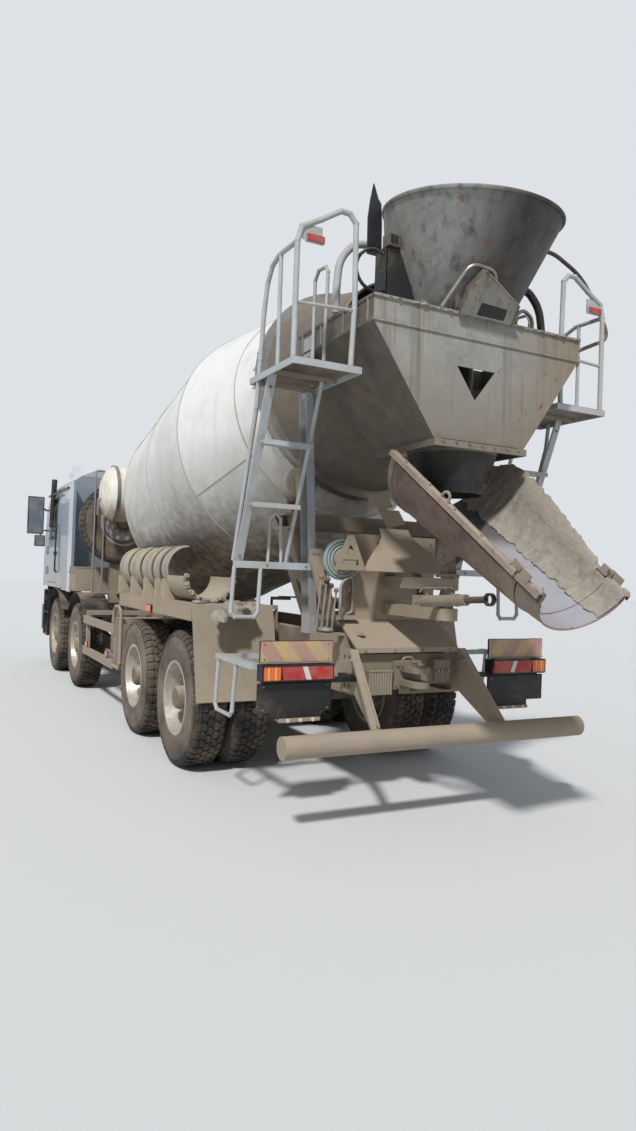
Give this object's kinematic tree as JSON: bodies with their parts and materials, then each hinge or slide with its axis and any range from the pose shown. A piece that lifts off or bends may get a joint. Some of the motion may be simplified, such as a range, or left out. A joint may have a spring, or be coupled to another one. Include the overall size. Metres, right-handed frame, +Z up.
{
  "type": "concrete mixer truck",
  "caption": "Four-axle truck with a tilted rotating drum, rear hopper, swivelling discharge chute, ladders and tilting cab.",
  "frame": {"origin": "middle of the footprint on the ground, halfway between the bumper's face and the tip of the parked chute", "axes": "+X forward, +Y to the truck's left, +Z up"},
  "size_m": [10.8829, 3.1, 4.0217],
  "materials": {
    "dusty_frame_paint": "matt, thick with beige dust",
    "axle_paint": "matt, dusty",
    "engine_metal": "matt",
    "tank_metal": "dull, dusty",
    "guard_paint": "matt, thick with beige dust",
    "lamp_plastic": "dusty gloss",
    "pedestal_paint": "matt, splashed with dried concrete",
    "post_paint": "satin light blue grey, dusty",
    "drive_paint": "satin",
    "hopper_paint": "matt, stained with dried concrete",
    "funnel_steel": "matt grey with rust at the rim",
    "ladder_pipe": "satin light blue grey",
    "tank_white": "satin, rusty below",
    "tyre_rubber": "dusty rubber",
    "caked_steel": "caked with dried concrete",
    "hose_rubber": "dusty",
    "drum_white": "satin off-white",
    "bare_steel": "worn",
    "chute_rust": "rusty brown",
    "rod_black": "black",
    "cab_silver": "metallic silver blue",
    "window_glass": "tinted",
    "cab_trim": "grained",
    "black_plastic": "matt"
  },
  "bodies": {
    "chassis": {"frame": "dusty_frame_paint", "steer_axles": "axle_paint", "drive_axles": "axle_paint", "powertrain": "engine_metal", "side_tanks": "tank_metal", "guard_rails": "guard_paint", "rear_mudguards": "guard_paint", "rear_lamps": "lamp_plastic", "rear_pedestal": "pedestal_paint", "drum_drive": "drive_paint", "hopper": "hopper_paint", "funnel": "funnel_steel", "ladders": "ladder_pipe", "water_tank": "tank_white", "spare_wheel": "tyre_rubber", "stored_chutes": "caked_steel", "wash_hose": "hose_rubber", "front_bumper": "cab_silver", "mudguards": "black_plastic", "drive_trestle": "dusty_frame_paint", "rear_beam": "dusty_frame_paint", "hopper_posts": "post_paint", "rear_deck": "pedestal_paint", "cab_steps": "black_plastic", "tool_box": "guard_paint"},
    "drum": {"drum": "drum_white"},
    "roller_left": {"roller_left": "bare_steel"},
    "roller_right": {"roller_right": "bare_steel"},
    "chute_pivot": {"chute_pivot": "pedestal_paint"},
    "chute": {"chute": "chute_rust"},
    "chute_end": {"chute_end": "chute_rust"},
    "lift_cylinder": {"lift_cylinder": "pedestal_paint"},
    "lift_rod": {"lift_rod": "rod_black"},
    "cab": {"cab_shell": "cab_silver", "cab_glass": "window_glass", "cab_interior": "cab_trim", "mirrors": "black_plastic", "cab_front": "black_plastic"},
    "door_left": {"door_left": "cab_silver", "door_glass_left": "window_glass"},
    "door_right": {"door_right": "cab_silver", "door_glass_right": "window_glass"},
    "knuckle_1_left": {"knuckle_1_left": "axle_paint"},
    "wheel_1_left": {"wheel_1_left": "tyre_rubber"},
    "knuckle_1_right": {"knuckle_1_right": "axle_paint"},
    "wheel_1_right": {"wheel_1_right": "tyre_rubber"},
    "knuckle_2_left": {"knuckle_2_left": "axle_paint"},
    "wheel_2_left": {"wheel_2_left": "tyre_rubber"},
    "knuckle_2_right": {"knuckle_2_right": "axle_paint"},
    "wheel_2_right": {"wheel_2_right": "tyre_rubber"},
    "wheels_3_left": {"wheels_3_left": "tyre_rubber"},
    "wheels_3_right": {"wheels_3_right": "tyre_rubber"},
    "wheels_4_left": {"wheels_4_left": "tyre_rubber"},
    "wheels_4_right": {"wheels_4_right": "tyre_rubber"}
  },
  "joints": [
    {"name": "drum_spin", "type": "hinge", "parent": "chassis", "child": "drum", "pos_m": [-1.73999, 0, 2.79066], "axis": [0.9751, 0, -0.2215], "continuous": true},
    {"name": "roller_spin_left", "type": "hinge", "parent": "chassis", "child": "roller_left", "pos_m": [-3.07085, 0.5909, 2.25899], "axis": [0.9751, 0, -0.2215], "continuous": true},
    {"name": "roller_spin_right", "type": "hinge", "parent": "chassis", "child": "roller_right", "pos_m": [-3.07085, -0.5909, 2.25899], "axis": [0.9751, 0, -0.2215], "continuous": true},
    {"name": "steer_1_left", "type": "hinge", "parent": "chassis", "child": "knuckle_1_left", "pos_m": [3.97194, 0.868, 0.55], "axis": [0, 0, 1], "range_deg": [-35, 35]},
    {"name": "roll_1_left", "type": "hinge", "parent": "knuckle_1_left", "child": "wheel_1_left", "pos_m": [3.97194, 1.092, 0.55], "axis": [0, 1, 0], "continuous": true},
    {"name": "steer_1_right", "type": "hinge", "parent": "chassis", "child": "knuckle_1_right", "pos_m": [3.97194, -0.868, 0.55], "axis": [0, 0, 1], "range_deg": [-35, 35]},
    {"name": "roll_1_right", "type": "hinge", "parent": "knuckle_1_right", "child": "wheel_1_right", "pos_m": [3.97194, -1.092, 0.55], "axis": [0, 1, 0], "continuous": true},
    {"name": "steer_2_left", "type": "hinge", "parent": "chassis", "child": "knuckle_2_left", "pos_m": [2.27194, 0.868, 0.55], "axis": [0, 0, 1], "range_deg": [-25.2, 25.2]},
    {"name": "roll_2_left", "type": "hinge", "parent": "knuckle_2_left", "child": "wheel_2_left", "pos_m": [2.27194, 1.092, 0.55], "axis": [0, 1, 0], "continuous": true},
    {"name": "steer_2_right", "type": "hinge", "parent": "chassis", "child": "knuckle_2_right", "pos_m": [2.27194, -0.868, 0.55], "axis": [0, 0, 1], "range_deg": [-25.2, 25.2]},
    {"name": "roll_2_right", "type": "hinge", "parent": "knuckle_2_right", "child": "wheel_2_right", "pos_m": [2.27194, -1.092, 0.55], "axis": [0, 1, 0], "continuous": true},
    {"name": "roll_3_left", "type": "hinge", "parent": "chassis", "child": "wheels_3_left", "pos_m": [-0.85806, 1.092, 0.55], "axis": [0, 1, 0], "continuous": true},
    {"name": "roll_3_right", "type": "hinge", "parent": "chassis", "child": "wheels_3_right", "pos_m": [-0.85806, -1.092, 0.55], "axis": [0, 1, 0], "continuous": true},
    {"name": "roll_4_left", "type": "hinge", "parent": "chassis", "child": "wheels_4_left", "pos_m": [-2.20806, 1.092, 0.55], "axis": [0, 1, 0], "continuous": true},
    {"name": "roll_4_right", "type": "hinge", "parent": "chassis", "child": "wheels_4_right", "pos_m": [-2.20806, -1.092, 0.55], "axis": [0, 1, 0], "continuous": true},
    {"name": "cab_tilt", "type": "hinge", "parent": "chassis", "child": "cab", "pos_m": [5.19194, 0, 1.125], "axis": [0, 1, 0], "range_deg": [0, 60]},
    {"name": "door_left_swing", "type": "hinge", "parent": "cab", "child": "door_left", "pos_m": [4.96544, 1.244, 1.9], "axis": [0, 0, -1], "range_deg": [0, 70]},
    {"name": "door_right_swing", "type": "hinge", "parent": "cab", "child": "door_right", "pos_m": [4.96544, -1.244, 1.9], "axis": [0, 0, 1], "range_deg": [0, 70]},
    {"name": "chute_swivel", "type": "hinge", "parent": "chassis", "child": "chute_pivot", "pos_m": [-4.17506, 0, 1.5], "axis": [0, 0, 1], "range_deg": [-97, 83]},
    {"name": "chute_tilt", "type": "hinge", "parent": "chute_pivot", "child": "chute", "pos_m": [-4.17506, 0, 1.74], "axis": [0.1219, -0.9925, 0], "range_deg": [-30, 10]},
    {"name": "chute_fold", "type": "hinge", "parent": "chute", "child": "chute_end", "pos_m": [-5.13184, -0.11748, 1.66717], "axis": [-0.1219, 0.9925, 0], "range_deg": [0, 165]},
    {"name": "lift_swing", "type": "hinge", "parent": "chute_pivot", "child": "lift_cylinder", "pos_m": [-4.27117, 0.29045, 1.45], "axis": [0.1219, -0.9925, 0], "range_deg": [-32, 12]},
    {"name": "lift_slide", "type": "slide", "parent": "lift_cylinder", "child": "lift_rod", "axis": [-0.9907, -0.1216, 0.0613], "range_m": [-0.07, 0.17]}
  ],
  "couplings": [
    {"joint": "roller_spin_left", "follows": "drum_spin", "ratio": -7.04},
    {"joint": "roller_spin_right", "follows": "drum_spin", "ratio": -7.04},
    {"joint": "steer_1_right", "follows": "steer_1_left", "ratio": 1},
    {"joint": "steer_2_left", "follows": "steer_1_left", "ratio": 0.72},
    {"joint": "steer_2_right", "follows": "steer_1_left", "ratio": 0.72},
    {"joint": "lift_swing", "follows": "chute_tilt", "ratio": 0.984},
    {"joint": "lift_slide", "follows": "chute_tilt", "m_per_rad": -0.2911}
  ]
}
